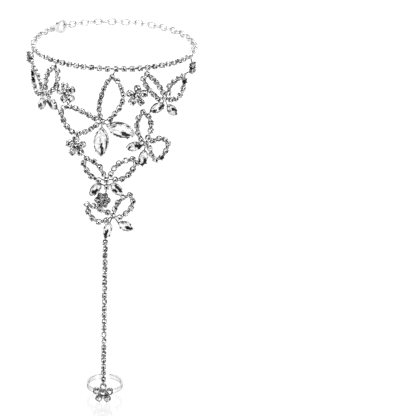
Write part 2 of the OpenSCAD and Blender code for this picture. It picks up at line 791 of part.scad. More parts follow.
rosette_stones(ROSETTES[0]);  // rosette_left_stones
rosette_stones(ROSETTES[1]);  // rosette_right_stones
rosette_stones(ROSETTES[2]);  // rosette_low_stones
drop_chain();
drop_stones();
toe_ring();
toe_flower_stones();
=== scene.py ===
"""Looks of a barefoot sandal: the finishes of its metal, its cut stones and the studio round it.

Everything is in metres, in the part's own frame: the anklet's loop lies level round the
origin, the front is -Y and up is +Z.
"""

import json
import logging
import math
from dataclasses import dataclass
from enum import Enum

import bmesh
import bpy
import numpy as np
from mathutils import Matrix, Vector


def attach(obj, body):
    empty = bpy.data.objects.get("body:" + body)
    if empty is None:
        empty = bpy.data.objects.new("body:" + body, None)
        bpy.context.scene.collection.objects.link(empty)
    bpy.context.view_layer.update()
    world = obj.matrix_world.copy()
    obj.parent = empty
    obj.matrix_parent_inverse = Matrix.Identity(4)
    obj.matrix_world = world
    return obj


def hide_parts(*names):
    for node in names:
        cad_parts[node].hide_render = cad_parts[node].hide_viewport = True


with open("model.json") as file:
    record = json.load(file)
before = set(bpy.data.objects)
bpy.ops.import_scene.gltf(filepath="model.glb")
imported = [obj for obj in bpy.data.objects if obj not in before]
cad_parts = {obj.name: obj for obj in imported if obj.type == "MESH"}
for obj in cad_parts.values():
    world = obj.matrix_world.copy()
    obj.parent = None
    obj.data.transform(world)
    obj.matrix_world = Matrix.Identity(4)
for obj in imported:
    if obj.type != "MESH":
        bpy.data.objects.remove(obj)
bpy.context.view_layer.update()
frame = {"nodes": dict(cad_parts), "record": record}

log = logging.getLogger("barefoot_sandal")

Socket = bpy.types.NodeSocket
Pair = tuple[float, float]
Triple = tuple[float, float, float]

MM = 0.001
ROOT_BODY = "sandal"


class Slot(Enum):
    """The record's material slots."""

    SILVER = "silver_metal"
    PALE = "pale_metal"
    RING = "ring_metal"
    STONE = "clear_stone"


class SettingSize(Enum):
    """The two stock sizes of a pointed oval setting: length and width outside, in mm."""

    LARGE = (15.0, 7.2)
    SMALL = (8.4, 4.5)

    @property
    def flash_reach(self) -> float:
        """How far round a stroke of painted dark reflection the stone's facets are dark, in half
        widths.
        """
        return 0.23 if self is SettingSize.LARGE else 0.44

    @property
    def flash_tones(self) -> Pair:
        """The darkest and the palest tone of a facet by a stroke of painted dark reflection."""
        return (0.008, 0.04) if self is SettingSize.LARGE else (0.001, 0.01)


# The part's own values, in mm, and its clearances
ANKLET_R = 40.0
WING_L = 22.0
WING_PITCH = 3.66
STONE_D = 2.1
SEAT_GAP = 0.08
FLOOR_GAP = 0.1
CUP_FLOOR = 0.62
OVAL_WALL = 0.4
PAVILION = 0.36
CROWN = 0.18
TABLE = 0.58
OVAL_PAVILION = 0.28
OVAL_CROWN = 0.15
CURVE_STEPS = 12

# Each wing's butterfly, then the points that its edge runs through, as shares of WING_L
WINGS: tuple = (
    (0, ((-1.92, -0.77), (-2.02, -0.59), (-2.18, -0.50), (-2.41, -0.45), (-2.62, -0.48),
         (-2.63, -0.66), (-2.47, -0.82), (-2.20, -0.95), (-1.90, -0.90))),
    (0, ((-1.76, -0.70), (-1.74, -0.57), (-1.70, -0.40), (-1.55, -0.22), (-1.38, -0.14),
         (-1.34, -0.32), (-1.38, -0.56), (-1.60, -0.78))),
    (1, ((-0.29, -1.09), (-0.31, -0.84), (-0.21, -0.45), (-0.03, -0.18), (0.16, -0.42),
         (0.19, -0.76), (-0.07, -1.15))),
    (1, ((-0.40, -1.15), (-0.69, -1.02), (-1.00, -0.96), (-1.23, -1.09), (-1.14, -1.35),
         (-0.89, -1.55), (-0.61, -1.48), (-0.37, -1.30))),
    (2, ((1.03, -0.75), (0.87, -0.60), (0.70, -0.38), (0.65, -0.20), (0.74, -0.15),
         (0.86, -0.25), (1.00, -0.40), (1.15, -0.63))),
    (2, ((1.30, -0.68), (1.34, -0.50), (1.57, -0.41), (1.83, -0.40), (1.85, -0.64),
         (1.66, -0.83), (1.38, -0.84))),
    (3, ((0.63, -1.64), (0.54, -1.43), (0.53, -1.21), (0.66, -1.01), (0.82, -1.17),
         (0.86, -1.41), (0.79, -1.62))),
    (3, ((0.91, -1.71), (1.14, -1.69), (1.34, -1.86), (1.22, -2.08), (1.03, -2.18),
         (0.90, -2.05), (0.84, -1.87))),
    (4, ((-0.20, -2.43), (-0.31, -2.22), (-0.50, -2.12), (-0.66, -2.13), (-0.61, -2.32),
         (-0.48, -2.50), (-0.30, -2.58))),
    (4, ((-0.04, -2.43), (0.10, -2.20), (0.32, -2.10), (0.52, -2.10), (0.46, -2.31),
         (0.27, -2.52), (0.06, -2.55))),
    (5, ((-0.09, -3.34), (-0.32, -3.25), (-0.55, -3.16), (-0.52, -3.38), (-0.35, -3.57),
         (-0.12, -3.53))),
    (5, ((0.06, -3.26), (0.16, -3.06), (0.37, -2.92), (0.47, -3.10), (0.38, -3.31),
         (0.17, -3.46))),
)

# Each body cup's butterfly and place, as shares of WING_L
BODIES: tuple = (
    (0, (-1.75, -0.84)),
    (1, (-0.24, -1.21)),
    (2, (1.21, -0.77)),
    (3, (0.75, -1.76)),
    (4, (-0.13, -2.57)),
    (4, (-0.12, -2.73)),
    (5, (0.03, -3.42)),
)

# The cups painted black, a painted reflection of a dark part of the room seen from the front: each
# its wing's number, its own, and the reach in mm
BLACK_CUPS = ((0, 6, 1.7), (0, 7, 1.7), (5, 5, 1.7), (7, 5, 1.3))
BLACK_TONE = 0.001

# The right rosette's two ties, painted grey as painted shade: each its middle's run and height, its
# height over the cups' backs, and the reach, in mm
GREY_TIES = (((47.4, -2.7), 0.9, 1.2), ((43.0, -8.1), 0.6, 1.6))
GREY_TONE = 0.04

# The share of such a spot's reach within which it is darkest
SPOT_CORE = 0.85

# Each pointed oval's node, size, place as shares of WING_L, turn in degrees, and the strokes
# along which its facets are painted dark as painted reflections: two ends each, as shares of its half
# length and width
OVALS: tuple = (
    ("side_left_oval_1", SettingSize.SMALL, (-1.90, -1.12), -125,
     ((-0.15, 0.45, 0.75, -0.2),)),
    ("side_left_oval_2", SettingSize.SMALL, (-1.52, -1.00), -35,
     ((-0.6, -0.3, 0.3, 0.05), (-0.2, -0.2, 0.1, 0.2))),
    ("centre_oval_1", SettingSize.LARGE, (0.17, -1.385), -19,
     ((0.1, -0.35, 0.62, -0.2), (0.25, -0.15, 0.5, -0.45), (-0.35, -0.9, 0.3, -0.95),
      (-0.62, 0.3, -0.58, 0.3))),
    ("centre_oval_2", SettingSize.LARGE, (-0.25, -1.67), -90,
     ((0.02, 0.05, 0.72, 0.35), (0.1, 0.9, 0.5, 0.85), (0.8, 0.05, 0.9, 0.0))),
    ("side_right_oval_1", SettingSize.SMALL, (1.01, -0.95), 202,
     ((-0.1, 0.15, -0.85, -0.15), (0.6, 0.05, 0.75, 0.1))),
    ("side_right_oval_2", SettingSize.SMALL, (1.43, -1.09), -46,
     ((-0.4, 0.0, 0.2, 0.55), (0.2, 0.55, 0.85, 0.1))),
    ("mid_right_oval_1", SettingSize.SMALL, (0.48, -1.79), 187,
     ((-0.15, -0.4, -0.8, -0.25), (-0.4, 0.25, -0.6, 0.2), (0.74, -0.2, 0.78, -0.2))),
    ("mid_right_oval_2", SettingSize.SMALL, (0.69, -2.08), -101,
     ((0.0, 0.1, 0.35, 0.6), (0.4, 0.45, 0.85, -0.1))),
    ("lower_oval_1", SettingSize.SMALL, (-0.37, -2.80), 231,
     ((0.4, 0.1, -0.2, 0.4), (0.3, 0.5, 0.35, 0.55))),
    ("lower_oval_2", SettingSize.SMALL, (0.10, -2.78), -46,
     ((-0.45, 0.75, 0.45, 0.7), (-0.3, -0.45, 0.1, -0.4))),
    ("bottom_oval_1", SettingSize.SMALL, (-0.09, -3.77), -104,
     ((-0.1, 0.0, 0.7, -0.3), (0.85, 0.0, 0.9, 0.0))),
    ("bottom_oval_2", SettingSize.SMALL, (0.31, -3.67), -24,
     ((0.0, 0.0, 0.8, -0.05),)),
)

BUTTERFLY_NAMES = ("side_left", "centre", "side_right", "mid_right", "lower", "bottom")

# The seed of the first pointed oval's random tones
FIRST_SEED = 3

# Where the sockets of Blender's Mix node stand when it mixes colours
MIX_SHARE, MIX_A, MIX_B, MIX_RESULT = 0, 6, 7, 2


@dataclass
class NodeBench:
    """A material's or world's node tree, with short ways to add and join nodes."""

    tree: bpy.types.NodeTree

    def add(self, kind: str, **settings: object) -> bpy.types.Node:
        """Adds a node.

        Args:
            kind: The node's type name in Blender.
            settings: Properties of the node, by name.

        Returns:
            The new node.
        """
        node = self.tree.nodes.new(kind)
        for name, value in settings.items():
            setattr(node, name, value)
        return node

    def join(self, source: Socket, target: Socket) -> None:
        """Links one socket to another."""
        self.tree.links.new(source, target)

    def feed(self, value: object, target: Socket) -> None:
        """Links a socket to the target, or sets the target to a plain value.

        Args:
            value: The socket, or the value.
            target: The socket that takes it.
        """
        if isinstance(value, Socket):
            self.join(value, target)
        else:
            target.default_value = value

    def scalar(self, operation: str, *values: object) -> Socket:
        """Reckons with numbers.

        Args:
            operation: What is reckoned, by its name in Blender.
            values: What goes in, as sockets or numbers.

        Returns:
            The result's socket.
        """
        node = self.add("ShaderNodeMath", operation=operation)
        for value, target in zip(values, node.inputs):
            self.feed(value, target)
        return node.outputs["Value"]

    def vector(self, operation: str, *values: object, result: str = "Vector") -> Socket:
        """Reckons with vectors.

        Args:
            operation: What is reckoned, by its name in Blender.
            values: What goes in, as sockets or vectors.
            result: The output that holds the result, Vector or Value.

        Returns:
            The result's socket.
        """
        node = self.add("ShaderNodeVectorMath", operation=operation)
        for value, target in zip(values, node.inputs):
            self.feed(value, target)
        return node.outputs[result]

    def ramp(self, source: Socket, stops: tuple, constant: bool = False) -> Socket:
        """Turns a value into a colour.

        Args:
            source: The value's socket.
            stops: Pairs of position and grey, or of position and colour.
            constant: Whether the colour steps from stop to stop.

        Returns:
            The colour's socket.
        """
        node = self.add("ShaderNodeValToRGB")
        ramp = node.color_ramp
        ramp.interpolation = "CONSTANT" if constant else "LINEAR"
        while len(ramp.elements) < len(stops):
            ramp.elements.new(1.0)
        for element, (position, tone) in zip(ramp.elements, stops):
            element.position = position
            colour = (tone,) * 3 if isinstance(tone, (int, float)) else tone
            element.color = (*colour, 1.0)
        self.join(source, node.inputs["Fac"])
        return node.outputs["Color"]

    def span(
        self, source: Socket, low: float, high: float, start: float = 0.0, end: float = 1.0
    ) -> Socket:
        """Maps a value from start..end to low..high.

        Args:
            source: The value's socket.
            low: The result at start.
            high: The result at end.
            start: The value that gives low.
            end: The value that gives high.

        Returns:
            The result's socket.
        """
        node = self.add("ShaderNodeMapRange")
        node.inputs["From Min"].default_value = start
        node.inputs["From Max"].default_value = end
        node.inputs["To Min"].default_value = low
        node.inputs["To Max"].default_value = high
        self.join(source, node.inputs["Value"])
        return node.outputs["Result"]

    def noise(self, place: Socket, scale: float, detail: float = 3.0) -> Socket:
        """Adds a noise texture.

        Args:
            place: The coordinates' socket.
            scale: Noise cells per metre.
            detail: Octaves of the noise.

        Returns:
            The noise value's socket.
        """
        node = self.add("ShaderNodeTexNoise")
        node.inputs["Scale"].default_value = scale
        node.inputs["Detail"].default_value = detail
        self.join(place, node.inputs["Vector"])
        return node.outputs["Fac"]

    def cells(self, place: Socket, scale: float, distance: str = "EUCLIDEAN") -> Socket:
        """Splits space into cells with a random colour each.

        Args:
            place: The coordinates' socket.
            scale: Cells per metre.
            distance: The way of measuring that shapes the cells.

        Returns:
            The colour's socket.
        """
        node = self.add("ShaderNodeTexVoronoi", distance=distance)
        node.inputs["Scale"].default_value = scale
        self.join(place, node.inputs["Vector"])
        return node.outputs["Color"]

    def chance(self, key: Socket) -> Socket:
        """Draws an even random number for each key.

        Args:
            key: The socket of a vector or colour.

        Returns:
            The number's socket.
        """
        node = self.add("ShaderNodeTexWhiteNoise")
        self.join(key, node.inputs["Vector"])
        return node.outputs["Value"]

    def across(self, place: Socket) -> Socket:
        """Keeps the level part of a place: the way from the loop's upright axis to it."""
        return self.vector("MULTIPLY", place, (1.0, 1.0, 0.0))

    def blend(self, share: Socket | float, a: object, b: object, mode: str = "MIX") -> Socket:
        """Mixes two colours.

        Args:
            share: The share of b, as a socket or a number.
            a: The first colour, as a socket or a tuple.
            b: The second colour, as a socket or a tuple.
            mode: The way of mixing.

        Returns:
            The mixed colour's socket.
        """
        node = self.add("ShaderNodeMix", data_type="RGBA", blend_type=mode)
        self.feed(share, node.inputs[MIX_SHARE])
        for value, target in ((a, node.inputs[MIX_A]), (b, node.inputs[MIX_B])):
            self.feed((*value, 1.0) if isinstance(value, tuple) else value, target)
        return node.outputs[MIX_RESULT]


def new_material(name: str) -> tuple[bpy.types.Material, NodeBench, bpy.types.Node]:
    """Makes a material with an empty tree but for its shader and output.

    Args:
        name: The material's name.

    Returns:
        The material, its bench and its Principled shader.
    """
    material = bpy.data.materials.new(name)
    material.use_nodes = True
    bench = NodeBench(material.node_tree)
    bench.tree.nodes.clear()
    shader = bench.add("ShaderNodeBsdfPrincipled")
    output = bench.add("ShaderNodeOutputMaterial")
    bench.join(shader.outputs["BSDF"], output.inputs["Surface"])
    return material, bench, shader


@dataclass(frozen=True)
class LaceCylinder:
    """The upright cylinder that the lace hangs on, and places on it."""

    radius: float = ANKLET_R

    @property
    def back_r(self) -> float:
        """Radius of the cups' backs, in mm."""
        return self.radius - rim_height(STONE_D) / 2

    @property
    def rim_r(self) -> float:
        """Radius of the cups' rims, in mm."""
        return self.radius + rim_height(STONE_D) / 2

    def seat(self, place: Pair, height: float, turn: float) -> Matrix:
        """Finds where a stone sits.

        Args:
            place: Run round the cylinder from the front, and height, in mm.
            height: Height of the stone's girdle over the cups' backs, in mm.
            turn: Turn of the stone in its seat, in degrees.

        Returns:
            The matrix that takes a stone from the origin to its seat, in metres.
        """
        return (
            Matrix.Rotation(place[0] / self.radius, 4, "Z")
            @ Matrix.Translation((0.0, -self.back_r * MM, place[1] * MM))
            @ Matrix.Rotation(math.radians(90.0), 4, "X")
            @ Matrix.Translation((0.0, 0.0, height * MM))
            @ Matrix.Rotation(math.radians(turn), 4, "Z")
        )


def rim_height(stone_d: float) -> float:
    """Height of a round cup's rim over its back, in mm."""
    return CUP_FLOOR + FLOOR_GAP + PAVILION * stone_d


def smooth_run(points: tuple) -> np.ndarray:
    """Draws a smooth run through a wing's points, in mm.

    Args:
        points: The points, as shares of WING_L.

    Returns:
        Closely spaced points of the run.
    """
    given = WING_L * np.array(points)
    last = len(given) - 1
    steps = []
    for i in range(last):
        a, b, c, d = (given[min(max(i + k, 0), last)] for k in (-1, 0, 1, 2))
        for t in np.arange(CURVE_STEPS) / CURVE_STEPS:
            steps.append(
                0.5 * (2 * b + (c - a) * t + (2 * a - 5 * b + 4 * c - d) * t**2
                       + (3 * b - a - 3 * c + d) * t**3)
            )
    steps.append(given[last])
    return np.array(steps)


def wing_places(points: tuple) -> list[Pair]:
    """Spaces a wing's cups evenly along its edge.

    Args:
        points: The points that the edge runs through, as shares of WING_L.

    Returns:
        The cups' places, in mm.
    """
    run = smooth_run(points)
    lengths = np.concatenate(([0.0], np.cumsum(np.hypot(*np.diff(run, axis=0).T))))
    count = int(math.floor(lengths[-1] / WING_PITCH + 0.5))
    at = lengths[-1] * np.arange(count + 1) / count
    return list(zip(np.interp(at, lengths, run[:, 0]), np.interp(at, lengths, run[:, 1])))


def paint_reflection_and_shade_spots(bench: NodeBench, place: Socket, colour: Socket) -> Socket:
    """Paints a black reflection on the few cups that would mirror a dark part of the room, and
    painted shade on the right rosette's two ties.

    Args:
        bench: The finish's bench.
        place: The coordinates' socket.
        colour: The finish's colour so far.

    Returns:
        The socket of the colour with its painted reflection and painted shade.
    """
    cylinder = LaceCylinder()
    spots = [
        (wing_places(WINGS[wing][1])[cup], rim_height(STONE_D), reach, BLACK_TONE)
        for wing, cup, reach in BLACK_CUPS
    ]
    spots += [(middle, height, reach, GREY_TONE) for middle, height, reach in GREY_TIES]
    for middle, height, reach, tone in spots:
        centre = cylinder.seat(middle, height, 0.0).translation
        away = bench.vector("DISTANCE", place, centre, result="Value")
        share = bench.span(away, 1.0, 0.0, SPOT_CORE * reach * MM, reach * MM)
        colour = bench.blend(share, colour, (tone, tone, tone))
    return colour


@dataclass(frozen=True)
class SilverFinish:
    """Polished plated metal, with patches of a dark room's reflection painted into its colour.

    A pair in the painted reflection patches and the painted shade holds for the front of the loop,
    then for its sides.

    Attributes:
        name: The material's name.
        tone: The metal's colour.
        shade: The colour of its mottling.
        roughness: Its least and its greatest roughness.
        recess: How dark the painted shade in a deep recess is.
        edge: The grey that the metal turns to where it is seen at a slant.
        patches: How dark the painted reflection patches are.
        painted_shade: How dark the painted shade is on the cups, halfway up their sides and on their
            backs.
        front: The places along Y, in metres, where the front ends and the sides begin.
        band: Height of a flat band with painted shade along its edges, and half its width, in mm.
        patch_mm: The patches' size.
        back_patches: How dark the painted reflection patches are on the cups' backs.
    """

    name: str
    tone: Triple
    shade: Triple
    roughness: Pair
    recess: float
    edge: float
    patches: Pair = (0.0, 0.0)
    painted_shade: Pair = (0.0, 0.0)
    front: Pair = (-0.037, -0.022)
    band: Pair | None = None
    patch_mm: float = 1.1
    back_patches: float = 0.3

    # Noise cells per metre, and the part of the noise's range that is used
    mottle_scale: float = 420.0
    mottle_range: Pair = (0.35, 0.65)
    grain_scale: float = 5200.0
    grain_range: Pair = (0.3, 0.7)
    scratch_scale: float = 2600.0
    scratch_stretch: Triple = (1.0, 1.0, 9.0)

    # Where each brightness of painted reflection patch begins, as a share of all patches, and how
    # bright it is
    patch_stops: tuple = ((0.0, 0.003), (0.32, 0.12), (0.4, 0.6), (0.46, 1.0))

    # Heights from the cups' backs, 0, to their rims, 1: where the backs end, and where the painted
    # shade is how dense, darkest halfway up the cups, and the painted shade's colour
    back_zone: Pair = (0.05, 0.2)
    painted_shade_stops: tuple = ((0.0, 0.45), (0.1, 0.5), (0.3, 1.0), (0.6, 1.0), (0.9, 0.0))
    painted_shade_colour: Triple = (0.02, 0.02, 0.025)

    # A band's edge lines of painted shade: where they begin and are full, in half widths, and how
    # strong
    line_zone: Pair = (0.66, 0.86)
    line_share: float = 0.85
    line_colour: Triple = (0.3, 0.3, 0.31)

    # How far recesses are looked for, in mm, how open they are, and the colour of their painted shade
    recess_mm: float = 0.9
    recess_zone: Pair = (0.25, 0.85)
    recess_colour: Triple = (0.03, 0.03, 0.035)

    # The strength of the scratches, and their depth in mm
    bump_strength: float = 0.22
    bump_mm: float = 0.02

    def paint_reflections(
        self, bench: NodeBench, place: Socket, along: Socket, height: Socket, colour: Socket
    ) -> Socket:
        """Paints the room's reflection into the metal's colour, as dark and pale patches.

        Args:
            bench: The finish's bench.
            place: The coordinates' socket.
            along: The socket of the place along Y.
            height: The socket of the height between the cups' backs and rims.
            colour: The metal's colour so far.

        Returns:
            The socket of the colour with its painted reflection.
        """
        chance = bench.chance(bench.cells(place, 1.0 / (self.patch_mm * MM)))
        patch = bench.ramp(chance, self.patch_stops, constant=True)
        faces = bench.span(along, *self.patches, *self.front)
        over_back = bench.span(height, 0.0, 1.0, *self.back_zone)
        share = bench.blend(over_back, (self.back_patches,) * 3, faces)
        return bench.blend(share, colour, patch, "MULTIPLY")

    def paint_edge_shade(self, bench: NodeBench, level: Socket, colour: Socket) -> Socket:
        """Paints shade as dark lines along a band's two edges.

        Args:
            bench: The finish's bench.
            level: The socket of the place along Z.
            colour: The metal's colour so far.

        Returns:
            The socket of the colour with its painted shade lines.
        """
        middle, reach = (size * MM for size in self.band)
        away = bench.scalar("ABSOLUTE", bench.scalar("SUBTRACT", level, middle))
        start, full = (share * reach for share in self.line_zone)
        line = bench.span(away, 0.0, self.line_share, start, full)
        return bench.blend(line, colour, self.line_colour)

    def paint_shade(self, bench: NodeBench, along: Socket, height: Socket, colour: Socket) -> Socket:
        """Paints shade on the cups: darkest halfway up their sides, lighter on their backs, and more
        on the loop's front than its sides.

        Args:
            bench: The finish's bench.
            along: The socket of the place along Y.
            height: The socket of the height between the cups' backs and rims.
            colour: The metal's colour so far.

        Returns:
            The socket of the colour with its painted shade.
        """
        low = bench.ramp(height, self.painted_shade_stops)
        share = bench.scalar("MULTIPLY", low, bench.span(along, *self.painted_shade, *self.front))
        return bench.blend(share, colour, self.painted_shade_colour)

    def shade_recesses(self, bench: NodeBench, colour: Socket) -> Socket:
        """Paints shade into narrow recesses.

        Args:
            bench: The finish's bench.
            colour: The metal's colour so far.

        Returns:
            The socket of the colour with its painted shade.
        """
        shelter = bench.add("ShaderNodeAmbientOcclusion", samples=8)
        shelter.inputs["Distance"].default_value = self.recess_mm * MM
        depth = bench.span(shelter.outputs["AO"], self.recess, 0.0, *self.recess_zone)
        return bench.blend(depth, colour, self.recess_colour)

    def relief(self, bench: NodeBench, place: Socket, grain: Socket) -> Socket:
        """Raises the fine grain and the scratches.

        Args:
            bench: The finish's bench.
            place: The coordinates' socket.
            grain: The grain's socket.

        Returns:
            The socket of the bumped normal.
        """
        stretch = bench.add("ShaderNodeMapping")
        stretch.inputs["Scale"].default_value = self.scratch_stretch
        bench.join(place, stretch.inputs["Vector"])
        scratch = bench.noise(stretch.outputs["Vector"], self.scratch_scale, detail=2.0)
        bump = bench.add("ShaderNodeBump")
        bump.inputs["Strength"].default_value = self.bump_strength
        bump.inputs["Distance"].default_value = self.bump_mm * MM
        bench.join(bench.blend(0.5, grain, scratch), bump.inputs["Height"])
        return bump.outputs["Normal"]

    def build(self) -> bpy.types.Material:
        """Builds the material.

        Returns:
            The material.
        """
        material, bench, shader = new_material(self.name)
        place = bench.add("ShaderNodeTexCoord").outputs["Object"]
        axes = bench.add("ShaderNodeSeparateXYZ")
        bench.join(place, axes.inputs["Vector"])
        cylinder = LaceCylinder()
        out = bench.vector("LENGTH", bench.across(place), result="Value")
        height = bench.span(out, 0.0, 1.0, cylinder.back_r * MM, cylinder.rim_r * MM)
        mottle = bench.noise(place, self.mottle_scale)
        grain = bench.noise(place, self.grain_scale, detail=5.0)

        mottled = bench.span(mottle, 0.0, 1.0, *self.mottle_range)
        colour = bench.blend(mottled, self.tone, self.shade)
        # painted reflection: dark patches of the room laid into the metal's colour
        colour = self.paint_reflections(bench, place, axes.outputs["Y"], height, colour)
        # painted shade along the ring band's two edges
        if self.band:
            colour = self.paint_edge_shade(bench, axes.outputs["Z"], colour)
        # painted shade on the cups' sides and backs, strongest on the loop's front
        colour = self.paint_shade(bench, axes.outputs["Y"], height, colour)
        # painted reflection on the black cups and painted shade on the right rosette's ties
        colour = paint_reflection_and_shade_spots(bench, place, colour)
        # painted shade in narrow recesses, found by ambient occlusion
        colour = self.shade_recesses(bench, colour)
        bench.join(colour, shader.inputs["Base Color"])
        bench.join(bench.span(grain, *self.roughness, *self.grain_range), shader.inputs["Roughness"])
        bench.join(self.relief(bench, place, grain), shader.inputs["Normal"])
        shader.inputs["Metallic"].default_value = 1.0
        shader.inputs["Specular Tint"].default_value = (self.edge, self.edge, self.edge, 1.0)
        return material


# The part of a cloudy veil's noise range that is used
VEIL_RANGE = (0.4, 0.7)


@dataclass(frozen=True)
class FacetFinish:
    """Foiled clear stone whose facets are painted white, grey or black, each by the way it faces:
    painted reflections and glints.

    Attributes:
        name: The material's name.
        crown: Where each painted reflection tone of crown facet begins, as a share of all, and the
            tone.
        table: The same for the tables.
        cell_mm: How large a stone is, so that each stone has painted flashes of its own.
    """

    name: str
    crown: tuple
    table: tuple
    cell_mm: float = 1.6

    # How far two facets' normals lie apart to count as two, and how outward a table looks
    normal_step: Triple = (0.07, 0.07, 0.07)
    table_zone: Pair = (0.9, 0.91)

    # Noise cells per metre of the veil over the facets, its share and its colour
    veil_scale: float = 900.0
    veil_share: float = 0.03
    veil_colour: Triple = (0.93, 0.95, 0.98)

    def build(self) -> bpy.types.Material:
        """Builds the material.

        Returns:
            The material.
        """
        material, bench, shader = new_material(self.name)
        normal = bench.add("ShaderNodeNewGeometry").outputs["True Normal"]
        place = bench.add("ShaderNodeTexCoord").outputs["Object"]
        cells = bench.cells(place, 1.0 / (self.cell_mm * MM))
        # painted reflections and glints: a random tone for each facet, drawn by its normal and its
        # stone
        snapped = bench.vector("SNAP", normal, self.normal_step)
        chance = bench.chance(bench.vector("ADD", snapped, cells))

        outward = bench.vector("NORMALIZE", bench.across(place))
        facing = bench.vector("DOT_PRODUCT", outward, normal, result="Value")
        tone = bench.blend(
            bench.span(facing, 0.0, 1.0, *self.table_zone),
            bench.ramp(chance, self.crown, constant=True),
            bench.ramp(chance, self.table, constant=True),
        )
        # painted reflection: the stones in the black cups are painted black, as the metal there
        tone = paint_reflection_and_shade_spots(bench, place, tone)
        veil = bench.span(bench.noise(place, self.veil_scale), 0.0, self.veil_share, *VEIL_RANGE)
        bench.join(bench.blend(veil, tone, self.veil_colour), shader.inputs["Base Color"])
        shader.inputs["Roughness"].default_value = 0.04
        shader.inputs["IOR"].default_value = 1.25
        shader.inputs["Metallic"].default_value = 0.1
        return material


@dataclass(frozen=True)
class NavetteFinish:
    """Foiled clear stone whose facets each carry a painted reflection tone, with painted flashes of
    inner reflection.

    Attributes:
        name: The material's name.
        cell_scale: Flashes per metre.
        flash_share: How much the painted inner flashes darken the painted tones.
        flash_stops: Where each tone of flash begins, as a share of all, and the tone.
        veil_scale: Noise cells per metre of the veil over the facets.
        veil_share: The veil's greatest share.
        veil_colour: Its colour.
    """

    name: str = "pointed_oval_stone"
    cell_scale: float = 750.0
    flash_share: float = 0.35
    flash_stops: tuple = ((0.0, 0.12), (0.14, 0.62), (0.42, 0.95))
    veil_scale: float = 380.0
    veil_share: float = 0.02
    veil_colour: Triple = (0.95, 0.97, 1.0)

    def build(self) -> bpy.types.Material:
        """Builds the material.

        Returns:
            The material.
        """
        material, bench, shader = new_material(self.name)
        # painted reflections: each facet's painted tone, darkened by cells of painted inner flashes
        painted = bench.add("ShaderNodeAttribute", attribute_name="facet_tone").outputs["Color"]
        place = bench.add("ShaderNodeTexCoord").outputs["Object"]
        chance = bench.chance(bench.cells(place, self.cell_scale, "CHEBYCHEV"))
        flash = bench.ramp(chance, self.flash_stops, constant=True)
        tone = bench.blend(self.flash_share, painted, flash, "MULTIPLY")
        veil = bench.span(bench.noise(place, self.veil_scale), 0.0, self.veil_share, *VEIL_RANGE)
        bench.join(bench.blend(veil, tone, self.veil_colour), shader.inputs["Base Color"])
        shader.inputs["Roughness"].default_value = 0.03
        shader.inputs["IOR"].default_value = 1.22
        return material


@dataclass(frozen=True)
class FloorFinish:
    """Pale glossy studio floor.

    Attributes:
        name: The material's name.
        gloss_scale: Noise cells per metre of its gloss.
        roughness: Its least and its greatest roughness.
        glow: How bright it is by itself, so that it is as white as the room.
    """

    name: str = "studio_floor"
    gloss_scale: float = 60.0
    roughness: Pair = (0.04, 0.08)
    glow: float = 0.88

    def build(self) -> bpy.types.Material:
        """Builds the material.

        Returns:
            The material.
        """
        material, bench, shader = new_material(self.name)
        place = bench.add("ShaderNodeTexCoord").outputs["Object"]
        gloss = bench.span(bench.noise(place, self.gloss_scale), *self.roughness)
        bench.join(gloss, shader.inputs["Roughness"])
        shader.inputs["Base Color"].default_value = (0.0, 0.0, 0.0, 1.0)
        shader.inputs["Specular IOR Level"].default_value = 1.0
        shader.inputs["Emission Color"].default_value = (1.0, 1.0, 1.0, 1.0)
        shader.inputs["Emission Strength"].default_value = self.glow
        return material


def deselect_all() -> None:
    """Leaves object mode with nothing selected."""
    if bpy.context.object and bpy.context.object.mode != "OBJECT":
        bpy.ops.object.mode_set(mode="OBJECT")
    bpy.ops.object.select_all(action="DESELECT")


def pick_faces(piece: bpy.types.Object, facing: Vector, least: float = 0.99) -> None:
    """Selects, in edit mode, the faces that look one way, and nothing else.

    Args:
        piece: The mesh in edit mode.
        facing: The way that the faces look.
        least: The least cosine between a face's normal and facing.
    """
    bpy.ops.mesh.select_mode(type="FACE")
    mesh = bmesh.from_edit_mesh(piece.data)
    for face in mesh.faces:
        face.select_set(face.normal.dot(facing) > least)
    bmesh.update_edit_mesh(piece.data)


def extrude(offset: Triple, share: Pair = (1.0, 1.0)) -> None:
    """Extrudes what is selected, then shrinks it about the Z axis.

    Args:
        offset: The way and length of the extrusion.
        share: The size afterwards in x and y, as shares.
    """
    bpy.ops.mesh.extrude_region_move(TRANSFORM_OT_translate={"value": offset})
    if share != (1.0, 1.0):
        bpy.ops.transform.resize(value=(share[0], share[1], 1.0), center_override=(0.0, 0.0, 0.0))


def flatten_facets() -> None:
    """In edit mode, splits every face that isn't flat."""
    bpy.ops.mesh.select_all(action="SELECT")
    bpy.ops.mesh.vert_connect_nonplanar(angle_limit=math.radians(1.0))


def close_shell() -> None:
    """Merges doubles, points every face outward and leaves edit mode."""
    bpy.ops.mesh.select_all(action="SELECT")
    bpy.ops.mesh.remove_doubles(threshold=1e-7)
    bpy.ops.mesh.normals_make_consistent(inside=False)
    bpy.ops.object.mode_set(mode="OBJECT")


